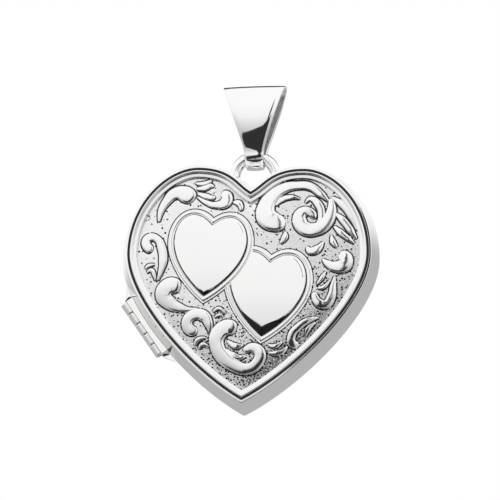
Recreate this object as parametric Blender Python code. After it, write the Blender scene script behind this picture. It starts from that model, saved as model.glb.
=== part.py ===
"""Heart locket on a tapered bail: two hinged silver halves, a picture in each, a snap catch.

The locket is drawn in its own millimetres first: x to the right as the front is looked at, y
from the front to the back with the parting plane at y = 0, z up, and z = 0 across the heart's
middle. `hung` then turns the heart a little in the bail, as it hangs, and `world` puts the
origin where the chain carries the bail.
"""

import math

import bmesh
import bpy
from mathutils import Matrix, Vector
from mathutils.geometry import delaunay_2d_cdt

MM = 0.001

# --- Heart outline of the front rim (right half, cleft to tip) ----------------------------------
CLEFT_Z = 7.33
LOBE_TOP = (4.03, 9.14)
WIDEST = (9.36, 2.30)
TIP_Z = -9.30
HEART_CURVES = (
    ((0.0, CLEFT_Z), (0.90, 7.90), (1.50, LOBE_TOP[1]), LOBE_TOP),
    (LOBE_TOP, (6.40, LOBE_TOP[1]), (WIDEST[0], 6.40), WIDEST),
    (WIDEST, (WIDEST[0], -1.30), (4.20, -6.95), (0.0, TIP_Z)),
)
CURVE_STEPS = 40
RUN_OUT = 4.0
SIDE_POINTS = 34

# --- Shells -------------------------------------------------------------------------------------
HALF_DEPTH = 2.00
FLARE = 0.46
WALL = 0.35
PARTING_GAP = 0.02
SEAT_GAP = 0.03
RIM_WIDTH = 0.85
PANEL_EDGE = 0.45
PANEL_THICK = 0.30
GROUND_EDGE_Y = 1.60
GROUND_DOME = 0.28
DOME_REACH = 9.5
DOME_FADE = 1.6
LIP_COVER = 0.48
GROUND_GRID = 1.1
LIP_Y = 1.63
POCKET_Y = 1.27
BACK_PANEL_EDGE = 0.40
BACK_PANEL_BACK_Y = 1.65
BACK_LEDGE_EDGE = 0.62
BACK_LEDGE_THICK = 0.12
BACK_FLAT_Y = 2.06

# --- Raised hearts on the front: centre, size, heights of border and face above the ground ------
LEFT_HEART = {"centre": (-2.96, 2.11), "size": 1.0, "border": 0.24, "face": 0.42}
RIGHT_HEART = {"centre": (1.55, -0.83), "size": 1.03, "border": 0.14, "face": 0.32}
HEART_TILT = math.radians(-4.5)
SMALL_LOBE_TOP = (1.40, 3.45)
SMALL_WIDEST = (3.17, 1.10)
SMALL_HEART_CURVES = (
    ((0.0, 2.85), (0.33, 3.13), (0.75, SMALL_LOBE_TOP[1]), SMALL_LOBE_TOP),
    (SMALL_LOBE_TOP, (2.40, SMALL_LOBE_TOP[1]), (SMALL_WIDEST[0], 2.40), SMALL_WIDEST),
    (SMALL_WIDEST, (SMALL_WIDEST[0], -0.80), (1.40, -2.65), (0.0, -3.62)),
)
HEART_BORDER = 0.34
HEART_BEVEL = 0.10
HEART_SIDE_POINTS = 14

# --- Pictures and their holders -----------------------------------------------------------------
FRONT_STACK_Y = 1.22
BACK_STACK_Y = 1.44
HOLDER_EDGE = 0.50
HOLDER_LIP = 1.40
HOLDER_THICK = 0.13
HOLDER_HEIGHT = 0.44
PICTURE_EDGE = 0.62
CARD_THICK = 0.12
WINDOW_THICK = 0.10

# --- Closing rim and catch ----------------------------------------------------------------------
RIM_PROUD = 0.40
RIM_SEAT = 1.10
RIM_THICK = 0.15
RIM_CLEARANCE = 0.07
CATCH_WIDTH = 2.0
CATCH_NOTCH = 2.9
TONGUE_ROOT_Y = 1.00
TONGUE_TIP_Y = -0.64
TONGUE_FACE = -0.17
TONGUE_THICK = 0.12
BUMP_Y = -0.52
BUMP_HEIGHT = 0.09
LEDGE_Y = (-0.28, -0.40)
LEDGE_FACE = -0.14

# --- Hinge --------------------------------------------------------------------------------------
HINGE_CENTRE = Vector((-8.00, -3.25))
HINGE_LEAN = math.radians(36.0)
HINGE_ALONG = Vector((math.sin(HINGE_LEAN), -math.cos(HINGE_LEAN)))
HINGE_INWARD = Vector((math.cos(HINGE_LEAN), math.sin(HINGE_LEAN)))
KNUCKLE_RADIUS = 0.36
KNUCKLE_BORE = 0.18
PIN_RADIUS = 0.15
KNUCKLE_COUNT = 5
KNUCKLE_LENGTH = 0.95
KNUCKLE_GAP = 0.04
BARREL = KNUCKLE_COUNT * KNUCKLE_LENGTH + (KNUCKLE_COUNT - 1) * KNUCKLE_GAP
PIN_SINK = 0.03
PIN_CHAMFER = 0.06
ROUND_SIDES = 20
LEAF_CLEARANCE = 0.035
LEAF_START_Y = 0.05
LEAF_ARC = (math.radians(7), math.radians(65))
LEAF_LAP = 0.09
LEAF_PAST_BARREL = 0.02
GUSSET_REACH = 1.05
GUSSET_OUTER = 0.08
GUSSET_LOW_Y = 0.14
GUSSET_HIGH_Y = 0.44
GUSSET_SKIN = 0.03
FRONT_LEAF_REACH = 0.25

# --- Loop and bail ------------------------------------------------------------------------------
LOOP_Y = 0.50
LOOP_CENTRE_Z = 8.95
LOOP_RADIUS = 1.60
LOOP_WIRE = 0.46
LOOP_TOP_Z = LOOP_CENTRE_Z + LOOP_RADIUS
LOOP_STEPS = 22
WIRE_SIDES = 14
BAIL_THICK = 0.28
BAIL_FOOT = 0.98
BAIL_BELLY = (1.35, 13.60)
BAIL_TOP_Z = 16.15
BAIL_CROWN = 0.07
ROUND = 0.5523
BAIL_CURVES = (
    (
        (0.0, LOOP_TOP_Z - BAIL_FOOT),
        (BAIL_FOOT * ROUND, LOOP_TOP_Z - BAIL_FOOT),
        (BAIL_FOOT, LOOP_TOP_Z - BAIL_FOOT * ROUND),
        (BAIL_FOOT, LOOP_TOP_Z),
    ),
    ((BAIL_FOOT, LOOP_TOP_Z), (BAIL_FOOT, 11.50), (BAIL_BELLY[0], 12.40), BAIL_BELLY),
    (BAIL_BELLY, (BAIL_BELLY[0], 15.20), (0.80, BAIL_TOP_Z), (0.0, BAIL_TOP_Z)),
)
BAIL_STEPS = 12
BAIL_WIDTHS = ((9.57, 1.30), (10.2, 1.44), (11.1, 1.67), (12.9, 2.76), (14.7, 3.93), (16.15, 4.85))
CHAIN_Z = BAIL_TOP_Z - BAIL_THICK
HANG_TILT = math.radians(2.5)

FINISHES = {
    "polished_silver": ((0.90, 0.90, 0.90), 1.0, 0.07),
    "embossed_silver": ((0.86, 0.86, 0.86), 1.0, 0.22),
    "satin_silver": ((0.80, 0.80, 0.80), 1.0, 0.35),
    "picture_card": ((0.80, 0.74, 0.64), 0.0, 0.65),
    "clear_acetate": ((0.95, 0.97, 0.97), 0.0, 0.05),
}


def clear_scene():
    for obj in list(bpy.data.objects):
        bpy.data.objects.remove(obj, do_unlink=True)


def world(point):
    """A point in millimetres, in metres from where the chain carries the bail."""
    x, y, z = point
    return Vector((x, y - LOOP_Y, z - CHAIN_Z)) * MM


def hung(point):
    """A point of the heart, turned with it about the middle of the loop."""
    x, y, z = point
    x, z = Matrix.Rotation(-HANG_TILT, 2) @ Vector((x, z - LOOP_CENTRE_Z))
    return Vector((x, y, z + LOOP_CENTRE_Z))


def finish(name):
    """The material of this name, made the first time that it is asked for."""
    material = bpy.data.materials.get(name)
    if material:
        return material
    colour, metallic, roughness = FINISHES[name]
    material = bpy.data.materials.new(name)
    material.use_nodes = True
    shader = material.node_tree.nodes["Principled BSDF"]
    shader.inputs["Base Color"].default_value = (*colour, 1.0)
    shader.inputs["Metallic"].default_value = metallic
    shader.inputs["Roughness"].default_value = roughness
    return material


def add_piece(name, points, faces, material, parent=None, turned=hung):
    """One closed piece from points in locket millimetres; its origin is on its parent's axis."""
    origin = parent.matrix_world.translation if parent else Vector((0, 0, 0))
    mesh = bpy.data.meshes.new(name)
    mesh.from_pydata([world(turned(p)) - origin for p in points], [], faces)
    work = bmesh.new()
    work.from_mesh(mesh)
    bmesh.ops.recalc_face_normals(work, faces=work.faces)
    work.to_mesh(mesh)
    work.free()
    mesh.materials.append(finish(material))
    mesh.shade_smooth()
    mesh.set_sharp_from_angle(angle=math.radians(35))
    piece = bpy.data.objects.new(name, mesh)
    bpy.context.scene.collection.objects.link(piece)
    piece.parent = parent
    return piece


def add_axis(name, point, parent=None):
    """An empty on a joint's axis, which carries the pieces that turn about it."""
    axis = bpy.data.objects.new(name, None)
    axis.parent = parent
    axis.location = world(point) - (parent.matrix_world.translation if parent else Vector())
    axis.empty_display_size = 2 * MM
    bpy.context.scene.collection.objects.link(axis)
    bpy.context.view_layer.update()
    return axis


# --- Heart geometry -----------------------------------------------------------------------------
def bezier(curve, t):
    a, b, c, d = (Vector(p) for p in curve)
    s = 1 - t
    return s**3 * a + 3 * s**2 * t * b + 3 * s * t**2 * c + t**3 * d


def side_line(curves):
    """A heart's right side from above the cleft to below the tip, run out straight at both ends."""
    line = [bezier(curves[0], 0.0)]
    for curve in curves:
        line += [bezier(curve, k / CURVE_STEPS) for k in range(1, CURVE_STEPS + 1)]
    start = (line[0] - line[1]).normalized() * RUN_OUT
    end = (line[-1] - line[-2]).normalized() * RUN_OUT
    return [line[0] + start, *line, line[-1] + end]


SIDE_LINE = side_line(HEART_CURVES)
SMALL_SIDE_LINE = side_line(SMALL_HEART_CURVES)


def offset_line(line, offset):
    """The line moved outwards by offset, on the left of its direction."""
    moved = []
    for k, point in enumerate(line):
        along = line[min(k + 1, len(line) - 1)] - line[max(k - 1, 0)]
        moved.append(point + Vector((-along.y, along.x)).normalized() * offset)
    return moved


def clipped(line):
    """The stretch of the line on the right of x = 0, with its two ends on x = 0."""
    right = [k for k, p in enumerate(line) if p.x > 0]
    first, last = right[0], right[-1]
    ends = []
    for kept, lost in ((first, first - 1), (last, last + 1)):
        share = line[kept].x / (line[kept].x - line[lost].x)
        ends.append(line[kept].lerp(line[lost], share))
    return [ends[0], *line[first : last + 1], ends[1]]


def evenly(line, count):
    """count + 1 points at even distances along the line."""
    lengths = [0.0]
    for a, b in zip(line, line[1:]):
        lengths.append(lengths[-1] + (b - a).length)
    points = []
    k = 0
    for step in range(count + 1):
        want = lengths[-1] * step / count
        while k < len(line) - 2 and lengths[k + 1] < want:
            k += 1
        share = (want - lengths[k]) / (lengths[k + 1] - lengths[k])
        points.append(line[k].lerp(line[k + 1], share))
    return points


def heart(offset, count=SIDE_POINTS, line=SIDE_LINE):
    """A heart's outline moved outwards by offset: (x, z) points, clockwise from the cleft."""
    side = evenly(clipped(offset_line(line, offset)), count)
    side[0].x = side[-1].x = 0.0
    return side + [Vector((-p.x, p.y)) for p in side[-2:0:-1]]


def small_heart(spec, inset):
    """The outline of one raised heart, inset by a distance."""
    turn = Matrix.Rotation(HEART_TILT, 2)
    outline = heart(-inset / spec["size"], HEART_SIDE_POINTS, SMALL_SIDE_LINE)
    return [turn @ (p * spec["size"]) + Vector(spec["centre"]) for p in outline]


def inside(point, loop):
    """Whether the point lies within the loop."""
    found = False
    for a, b in zip(loop, loop[1:] + loop[:1]):
        if (a.y > point.y) != (b.y > point.y):
            if point.x < a.x + (point.y - a.y) * (b.x - a.x) / (b.y - a.y):
                found = not found
    return found


def depth_in(point, loop):
    """How far inside the loop the point is; negative outside it."""
    near = min(
        (point - nearest_on(point, a, b)).length for a, b in zip(loop, loop[1:] + loop[:1])
    )
    return near if inside(point, loop) else -near


def nearest_on(point, a, b):
    """The point's nearest place on the stretch from a to b."""
    along = b - a
    share = (point - a).dot(along) / along.length_squared
    return a + along * min(1.0, max(0.0, share))


def ground_y(point, edge):
    """Where the front's domed ground stands; it is level under the rim's lip."""
    reach = min(1.0, point.length_squared / DOME_REACH**2)
    fade = min(1.0, max(0.0, (depth_in(point, edge) - LIP_COVER) / DOME_FADE))
    return -(GROUND_EDGE_Y + GROUND_DOME * (1 - reach) * fade * (2 - fade))


# --- Building blocks ----------------------------------------------------------------------------
def lofted(rings, closed_across=False):
    """Points and faces of a solid through rings of equal counts; its ends are capped unless closed."""
    count = len(rings[0])
    points = [p for ring in rings for p in ring]
    faces = []
    spans = len(rings) if closed_across else len(rings) - 1
    for a in range(spans):
        b = (a + 1) % len(rings)
        for k in range(count):
            n = (k + 1) % count
            faces.append((a * count + k, a * count + n, b * count + n, b * count + k))
    if not closed_across:
        faces.append(tuple(range(count)))
        faces.append(tuple((len(rings) - 1) * count + k for k in range(count)))
    return points, faces


def heart_band(name, profile, material, parent):
    """A band that runs round the heart; its section is a closed list of (offset, y)."""
    rings = [[(p.x, y, p.y) for p in heart(offset)] for offset, y in profile]
    return add_piece(name, *lofted(rings, closed_across=True), material, parent)


def heart_plate(name, profile, material, parent):
    """A flat heart-shaped plate; its edge runs through (offset, y) from one face to the other."""
    rings = [[(p.x, y, p.y) for p in heart(offset)] for offset, y in profile]
    return add_piece(name, *lofted(rings), material, parent)


def wall_offset(y):
    """The outside of the flared side wall at this distance from the parting plane."""
    return FLARE * (1 - abs(y) / HALF_DEPTH)


# --- Front half ---------------------------------------------------------------------------------
def front_bezel(parent):
    """Side wall and stepped rim: outer land, groove, rounded bead, slope and the plate's pocket."""
    d = HALF_DEPTH
    profile = [
        (FLARE, -PARTING_GAP),
        (0.04, 0.14 - d),
        (0.0, 0.05 - d),
        (-0.05, -d),
        (-0.20, -d),
        (-0.24, 0.10 - d),
        (-0.33, 0.10 - d),
        (-0.37, -0.02 - d),
        (-0.48, -0.08 - d),
        (-0.60, -0.04 - d),
        (-0.68, 0.06 - d),
        (-RIM_WIDTH, -LIP_Y - 0.07),
        (-RIM_WIDTH, -LIP_Y),
        (SEAT_GAP - PANEL_EDGE, -LIP_Y),
        (SEAT_GAP - PANEL_EDGE, -POCKET_Y),
        (wall_offset(POCKET_Y) - WALL, -POCKET_Y + 0.07),
        (FLARE - WALL, -PARTING_GAP),
    ]
    heart_band("front_bezel", profile, "polished_silver", parent)


def heart_height(point, spec, outline):
    """How far one raised heart stands above the ground at this point."""
    depth = depth_in(point, outline)
    border = min(1.0, max(0.0, depth / HEART_BEVEL))
    face = min(1.0, max(0.0, (depth - HEART_BORDER) / HEART_BEVEL))
    return spec["border"] * border + (spec["face"] - spec["border"]) * face


def front_panel(parent):
    """Domed plate with two raised hearts, each a border step and a face; the left one overlaps."""
    edge = heart(-PANEL_EDGE)
    under_lip = heart(-PANEL_EDGE - LIP_COVER)
    hearts = [(spec, small_heart(spec, 0.0)) for spec in (LEFT_HEART, RIGHT_HEART)]
    loops = [edge, under_lip]
    for spec, _ in hearts:
        for inset in (0.0, HEART_BEVEL, HEART_BORDER, HEART_BORDER + HEART_BEVEL):
            loops.append(small_heart(spec, inset))
    flat, edges = [], []
    for loop in loops:
        first = len(flat)
        flat += loop
        edges += [(first + k, first + (k + 1) % len(loop)) for k in range(len(loop))]
    reach = int(WIDEST[0] / GROUND_GRID) + 1
    for column in range(-reach, reach + 1):
        for row in range(-reach, reach + 1):
            point = Vector((column, row)) * GROUND_GRID
            clear = min(abs(depth_in(point, loop)) for loop in loops[1:])
            if inside(point, under_lip) and clear > GROUND_GRID / 4:
                flat.append(point)
    flat, _, triangles, *_ = delaunay_2d_cdt(flat, edges, [tuple(range(len(edge)))], 1, 1e-5)

    def front_y(point):
        return ground_y(point, edge) - max(heart_height(point, *raised) for raised in hearts)

    count = len(flat)
    points = [(p.x, front_y(p), p.y) for p in flat]
    points += [(p.x, ground_y(p, edge) + PANEL_THICK, p.y) for p in flat]
    faces = [tuple(t) for t in triangles]
    faces += [tuple(k + count for k in reversed(t)) for t in triangles]
    sides = {}
    for t in triangles:
        for a, b in zip(t, (*t[1:], t[0])):
            sides[(a, b)] = (b, a)
    faces += [(b, a, a + count, b + count) for a, b in sides if (b, a) not in sides]
    add_piece("front_panel", points, faces, "embossed_silver", parent)


# --- Back half ----------------------------------------------------------------------------------
def back_bezel(parent):
    """Side wall, rounded back rim and the ledge that the back plate rests on."""
    d = HALF_DEPTH
    profile = [
        (FLARE, PARTING_GAP),
        (0.05, d - 0.22),
        (0.01, d - 0.09),
        (-0.06, d - 0.02),
        (-0.16, d),
        (SEAT_GAP - BACK_PANEL_EDGE, d),
        (SEAT_GAP - BACK_PANEL_EDGE, BACK_PANEL_BACK_Y - SEAT_GAP),
        (-BACK_LEDGE_EDGE, BACK_PANEL_BACK_Y - SEAT_GAP),
        (-BACK_LEDGE_EDGE, BACK_PANEL_BACK_Y - SEAT_GAP - BACK_LEDGE_THICK),
        (-0.20, 1.30),
        (FLARE - WALL, PARTING_GAP),
    ]
    heart_band("back_bezel", profile, "polished_silver", parent)


def back_panel(parent):
    """Plain plate with a softened edge and a flat middle."""
    profile = [
        (-BACK_PANEL_EDGE, BACK_PANEL_BACK_Y),
        (-BACK_PANEL_EDGE, BACK_FLAT_Y - 0.11),
        (-0.60, BACK_FLAT_Y - 0.05),
        (-1.00, BACK_FLAT_Y - 0.01),
        (-1.60, BACK_FLAT_Y),
    ]
    heart_plate("back_panel", profile, "polished_silver", parent)


def picture_stack(half, outside_y, sign, parent):
    """Card, clear window and the holder that keeps them in one half, from the outside inwards."""
    y = outside_y
    for piece, thick, material in (
        ("photo_card", CARD_THICK, "picture_card"),
        ("photo_window", WINDOW_THICK, "clear_acetate"),
    ):
        profile = [(-PICTURE_EDGE, sign * y), (-PICTURE_EDGE, sign * (y - thick))]
        heart_plate(f"{half}_{piece}", profile, material, parent)
        y -= thick + SEAT_GAP
    profile = [
        (-HOLDER_EDGE, sign * y),
        (-HOLDER_EDGE, sign * (y - HOLDER_HEIGHT)),
        (-HOLDER_EDGE - HOLDER_THICK, sign * (y - HOLDER_HEIGHT)),
        (-HOLDER_EDGE - HOLDER_THICK, sign * (y - HOLDER_THICK)),
        (-HOLDER_LIP, sign * (y - HOLDER_THICK)),
        (-HOLDER_LIP, sign * y),
    ]
    heart_band(f"{half}_photo_frame", profile, "satin_silver", parent)


# --- Closing rim and catch ----------------------------------------------------------------------
def catch_place():
    """Where on the rim the catch sits: the point that the hinge faces."""
    return max(heart(0.0, 8 * SIDE_POINTS), key=lambda p: p.dot(HINGE_INWARD))


def strip_along(offset, near, width):
    """The stretch of the offset outline that lies within width / 2 of a place on it, in order."""
    loop = heart(offset, 8 * SIDE_POINTS)
    return [p for p in loop if (p - near).length <= width / 2]


def curved_strip(name, profile, width, steps, material, parent):
    """A short strip that follows the rim at the catch; its section is a closed list of (offset, y)."""
    lines = [(evenly(strip_along(offset, catch_place(), width), steps), y) for offset, y in profile]
    rings = [[(line[k].x, y, line[k].y) for line, y in lines] for k in range(steps + 1)]
    add_piece(name, *lofted(rings), material, parent)


def closing_rim(parent):
    """Thin band inside the back half that centres the front half, open where the catch is."""
    tip = wall_offset(RIM_PROUD) - WALL - RIM_CLEARANCE
    middle = FLARE - WALL - RIM_CLEARANCE
    seat = wall_offset(RIM_SEAT) - WALL - SEAT_GAP
    profile = [
        (tip, -RIM_PROUD),
        (middle, 0.0),
        (seat, RIM_SEAT),
        (seat - RIM_THICK, RIM_SEAT),
        (middle - RIM_THICK, 0.0),
        (tip - RIM_THICK + 0.03, -RIM_PROUD),
    ]
    loops = [heart(offset) for offset, _ in profile]
    gap = [k for k, p in enumerate(loops[0]) if (p - catch_place()).length < CATCH_NOTCH / 2]
    count = len(loops[0])
    order = [(gap[-1] + 1 + k) % count for k in range(count - len(gap))]
    rings = [[(loop[k].x, y, loop[k].y) for loop, (_, y) in zip(loops, profile)] for k in order]
    add_piece("closing_rim", *lofted(rings), "satin_silver", parent)


def catch_tongue(parent):
    """Spring strip with a rounded ridge near its tip."""
    profile = [
        (TONGUE_FACE, TONGUE_ROOT_Y),
        (TONGUE_FACE, BUMP_Y + BUMP_HEIGHT),
        (TONGUE_FACE + BUMP_HEIGHT, BUMP_Y),
        (TONGUE_FACE, BUMP_Y - BUMP_HEIGHT),
        (TONGUE_FACE, TONGUE_TIP_Y),
        (TONGUE_FACE - TONGUE_THICK, TONGUE_TIP_Y),
        (TONGUE_FACE - TONGUE_THICK, TONGUE_ROOT_Y),
    ]
    curved_strip("catch_tongue", profile, CATCH_WIDTH, 8, "satin_silver", parent)


def catch_ledge(parent):
    """Bar inside the front wall that the ridge snaps behind."""
    outer = wall_offset(LEDGE_Y[1]) - WALL - SEAT_GAP / 2
    profile = [
        (outer, LEDGE_Y[0]),
        (outer, LEDGE_Y[1]),
        (LEDGE_FACE, LEDGE_Y[1]),
        (LEDGE_FACE, LEDGE_Y[0]),
    ]
    curved_strip("catch_ledge", profile, CATCH_WIDTH, 8, "satin_silver", parent)


# --- Hinge --------------------------------------------------------------------------------------
def hinge_point(along, inward, y):
    """A point given along the hinge pin, inwards from it and from front to back."""
    flat = HINGE_CENTRE + HINGE_ALONG * along + HINGE_INWARD * inward
    return (flat.x, y, flat.y)


def hinge_circle(along, radius):
    turns = [math.tau * k / ROUND_SIDES for k in range(ROUND_SIDES)]
    return [hinge_point(along, radius * math.cos(t), radius * math.sin(t)) for t in turns]


def knuckle(number, parent):
    """One tube of the hinge barrel, counted from the top."""
    start = -BARREL / 2 + (number - 1) * (KNUCKLE_LENGTH + KNUCKLE_GAP)
    end = start + KNUCKLE_LENGTH
    corners = (
        (start, KNUCKLE_RADIUS),
        (end, KNUCKLE_RADIUS),
        (end, KNUCKLE_BORE),
        (start, KNUCKLE_BORE),
    )
    tube = lofted([hinge_circle(along, radius) for along, radius in corners], closed_across=True)
    add_piece(f"hinge_knuckle_{number}", *tube, "polished_silver", parent)


def hinge_pin(parent):
    """Riveted through the barrel, its ends rounded off and sunk a little."""
    half = BARREL / 2 - PIN_SINK
    corners = (
        (-half, PIN_RADIUS - PIN_CHAMFER),
        (PIN_CHAMFER - half, PIN_RADIUS),
        (half - PIN_CHAMFER, PIN_RADIUS),
        (half, PIN_RADIUS - PIN_CHAMFER),
    )
    rings = [hinge_circle(along, radius) for along, radius in corners]
    add_piece("hinge_pin", *lofted(rings), "satin_silver", parent)


def wall_distance(along):
    """From the hinge pin to the side wall at the parting plane, at this place along the pin."""
    loop = heart(FLARE + SEAT_GAP, 4 * SIDE_POINTS)
    found = []
    for a, b in zip(loop, loop[1:]):
        sa, sb = ((p - HINGE_CENTRE).dot(HINGE_ALONG) - along for p in (a, b))
        if sa * sb <= 0 and sa != sb:
            found.append((a.lerp(b, sa / (sa - sb)) - HINGE_CENTRE).dot(HINGE_INWARD))
    return min(found)


def leaf_section(along, sign):
    """Fills between the barrel and the wall, with a hollow that clears the other half's knuckles."""
    wall = wall_distance(along)
    radius = KNUCKLE_RADIUS + LEAF_CLEARANCE
    low, high = LEAF_ARC
    turns = [low + (high - low) * k / 4 for k in range(5)]
    section = [(wall, LEAF_START_Y)]
    section += [(radius * math.cos(t), radius * math.sin(t)) for t in turns]
    section.append((wall + LEAF_LAP, radius * math.sin(high)))
    return [hinge_point(along, inward, sign * y) for inward, y in section]


def gusset_section(along, sign, share):
    """Past the barrel's end: from full width at share 1 down to nothing at the wall at share 0."""
    wall = wall_distance(along)
    least = wall - GUSSET_SKIN
    outer = least + (GUSSET_OUTER - least) * share
    top = GUSSET_LOW_Y + (GUSSET_HIGH_Y - GUSSET_LOW_Y) * share
    section = [(wall, LEAF_START_Y)]
    section += [(outer, LEAF_START_Y + (top - LEAF_START_Y) * k / 4) for k in range(5)]
    section.append((wall + 0.02 + 0.05 * share, top))
    return [hinge_point(along, inward, sign * y) for inward, y in section]


def hinge_leaf(half, sign, reach, parent):
    """Fills the corner between one half's wall and the barrel, with a gusset past each end."""
    end = BARREL / 2 + LEAF_PAST_BARREL
    past = end + GUSSET_SKIN
    ramp = [(past + reach * k / 3, 1 - k / 3) for k in range(4)]
    sections = [gusset_section(-s, sign, share) for s, share in reversed(ramp)]
    sections += [leaf_section(end * (k / 4 - 1), sign) for k in range(9)]
    sections += [gusset_section(s, sign, share) for s, share in ramp]
    add_piece(f"{half}_hinge_leaf", *lofted(sections), "polished_silver", parent)


# --- Loop and bail ------------------------------------------------------------------------------
def heart_cutter():
    """A solid just outside the back half's side wall, which trims the loop's feet."""
    gap = SEAT_GAP
    profile = [(FLARE + gap, -0.2), (FLARE + gap, 0.0), (gap, HALF_DEPTH), (gap, HALF_DEPTH + 0.2)]
    rings = [[(p.x, y, p.y) for p in heart(offset)] for offset, y in profile]
    cutter = add_piece("heart_cutter", *lofted(rings), "polished_silver")
    cutter.hide_render = True
    cutter.display_type = "WIRE"
    return cutter


def pendant_loop(parent):
    """Half ring of round wire, soldered to the back half's lobes across the cleft."""
    low = math.radians(-8)
    rings = []
    for step in range(LOOP_STEPS + 1):
        turn = low + (math.pi - 2 * low) * step / LOOP_STEPS
        ring = []
        for side in range(WIRE_SIDES):
            wire = math.tau * side / WIRE_SIDES
            reach = LOOP_RADIUS + LOOP_WIRE * math.cos(wire)
            x, z = reach * math.cos(turn), LOOP_CENTRE_Z + reach * math.sin(turn)
            ring.append((x, LOOP_Y + LOOP_WIRE * math.sin(wire), z))
        rings.append(ring)
    loop = add_piece("pendant_loop", *lofted(rings), "polished_silver", parent)
    cut = loop.modifiers.new("feet", "BOOLEAN")
    cut.operation = "DIFFERENCE"
    cut.solver = "EXACT"
    cut.object = heart_cutter()


def bail_width(z):
    """The strap's width at this height, on straight lines between the widths given."""
    for (low, first), (high, last) in zip(BAIL_WIDTHS, BAIL_WIDTHS[1:]):
        if z <= high:
            return first + (last - first) * max(0.0, z - low) / (high - low)
    return BAIL_WIDTHS[-1][1]


def bail():
    """Strap folded into a teardrop round the loop, wide where the chain runs and narrow at the foot."""
    half = [bezier(BAIL_CURVES[0], 0.0)]
    for curve in BAIL_CURVES:
        half += [bezier(curve, k / BAIL_STEPS) for k in range(1, BAIL_STEPS + 1)]
    outer = half[:-1] + [Vector((-p.x, p.y)) for p in reversed(half[1:])]
    count = len(outer)
    rings = []
    for k, point in enumerate(outer):
        along = (outer[(k + 1) % count] - outer[k - 1]).normalized()
        inward = Vector((-along.y, along.x))
        wide = bail_width(point.y) / 2
        ring = []
        section = (
            (-wide, 0.0),
            (0.0, -BAIL_CROWN),
            (wide, 0.0),
            (wide, BAIL_THICK),
            (-wide, BAIL_THICK),
        )
        for x, depth in section:
            place = point + inward * depth
            ring.append((x, LOOP_Y + place.x, place.y))
        rings.append(ring)
    add_piece("bail", *lofted(rings, closed_across=True), "polished_silver", turned=Vector)


def build():
    clear_scene()
    bail()
    back_half = add_axis("bail_swing_axis", (0.0, LOOP_Y, LOOP_TOP_Z))
    hinge_x, hinge_y, hinge_z = hinge_point(0.0, 0.0, 0.0)
    front_half = add_axis("cover_hinge_axis", hung((hinge_x, hinge_y, hinge_z)), back_half)
    catch = catch_place() + HINGE_INWARD * (TONGUE_FACE - TONGUE_THICK / 2)
    tongue_root = add_axis("catch_flex_axis", hung((catch.x, TONGUE_ROOT_Y, catch.y)), back_half)

    front_bezel(front_half)
    front_panel(front_half)
    picture_stack("front", FRONT_STACK_Y, -1, front_half)
    catch_ledge(front_half)
    hinge_leaf("front", -1, FRONT_LEAF_REACH, front_half)

    back_bezel(back_half)
    back_panel(back_half)
    picture_stack("back", BACK_STACK_Y, 1, back_half)
    closing_rim(back_half)
    hinge_leaf("back", 1, GUSSET_REACH, back_half)
    hinge_pin(back_half)
    pendant_loop(back_half)
    catch_tongue(tongue_root)
    for number in range(1, KNUCKLE_COUNT + 1):
        knuckle(number, back_half if number % 2 else front_half)


build()
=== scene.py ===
"""Looks of a silver heart locket: polished shells, raised hearts and scrolls on a stippled ground.

Shapes are drawn in locket millimetres: x to the right of the front, y from the front to the back
with the parting plane at 0, z up. HEART_PLACE turns the heart as it hangs in the bail and puts
the chain's place at the origin, in metres.
"""

import math

import bmesh
import bpy
from mathutils import Matrix, Vector
from mathutils.geometry import delaunay_2d_cdt


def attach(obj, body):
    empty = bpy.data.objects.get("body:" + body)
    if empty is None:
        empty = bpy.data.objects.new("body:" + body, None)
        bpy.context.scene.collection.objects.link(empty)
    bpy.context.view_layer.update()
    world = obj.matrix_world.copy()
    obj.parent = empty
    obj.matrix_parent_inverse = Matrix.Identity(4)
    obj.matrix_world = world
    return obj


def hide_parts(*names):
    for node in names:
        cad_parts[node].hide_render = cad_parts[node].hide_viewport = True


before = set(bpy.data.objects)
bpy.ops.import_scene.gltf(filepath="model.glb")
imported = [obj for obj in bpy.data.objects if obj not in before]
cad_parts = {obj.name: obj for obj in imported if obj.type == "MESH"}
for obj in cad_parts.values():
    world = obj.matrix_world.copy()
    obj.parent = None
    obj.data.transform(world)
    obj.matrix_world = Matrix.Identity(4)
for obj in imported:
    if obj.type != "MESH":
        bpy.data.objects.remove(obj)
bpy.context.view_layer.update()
MM = 0.001

# --- How the locket hangs ---
CHAIN_Z = 15.87
LOOP_Y = 0.50
LOOP_CENTRE_Z = 8.95
HANG_TILT = math.radians(2.5)
BAIL_PLACE = Matrix.Scale(MM, 4) @ Matrix.Translation((0, -LOOP_Y, -CHAIN_Z))
HEART_PLACE = (
    BAIL_PLACE
    @ Matrix.Translation((0, 0, LOOP_CENTRE_Z))
    @ Matrix.Rotation(HANG_TILT, 4, "Y")
    @ Matrix.Translation((0, 0, -LOOP_CENTRE_Z))
)

# --- Heart outline (right half, cleft to tip) ---
LOBE_TOP = (4.03, 9.14)
WIDEST = (9.36, 2.30)
HEART_CURVES = (
    ((0.0, 7.33), (0.90, 7.90), (1.50, LOBE_TOP[1]), LOBE_TOP),
    (LOBE_TOP, (6.40, LOBE_TOP[1]), (WIDEST[0], 6.40), WIDEST),
    (WIDEST, (WIDEST[0], -1.30), (4.20, -6.95), (0.0, -9.30)),
)
CURVE_STEPS = 240
RUN_OUT = 4.0
SIDE_POINTS = 120
HALF_DEPTH = 2.00
FLARE = 0.46
WALL = 0.35
PARTING_GAP = 0.02
ARC_STEPS = 4
HOLD = 0.02
CREASE = 38

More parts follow.
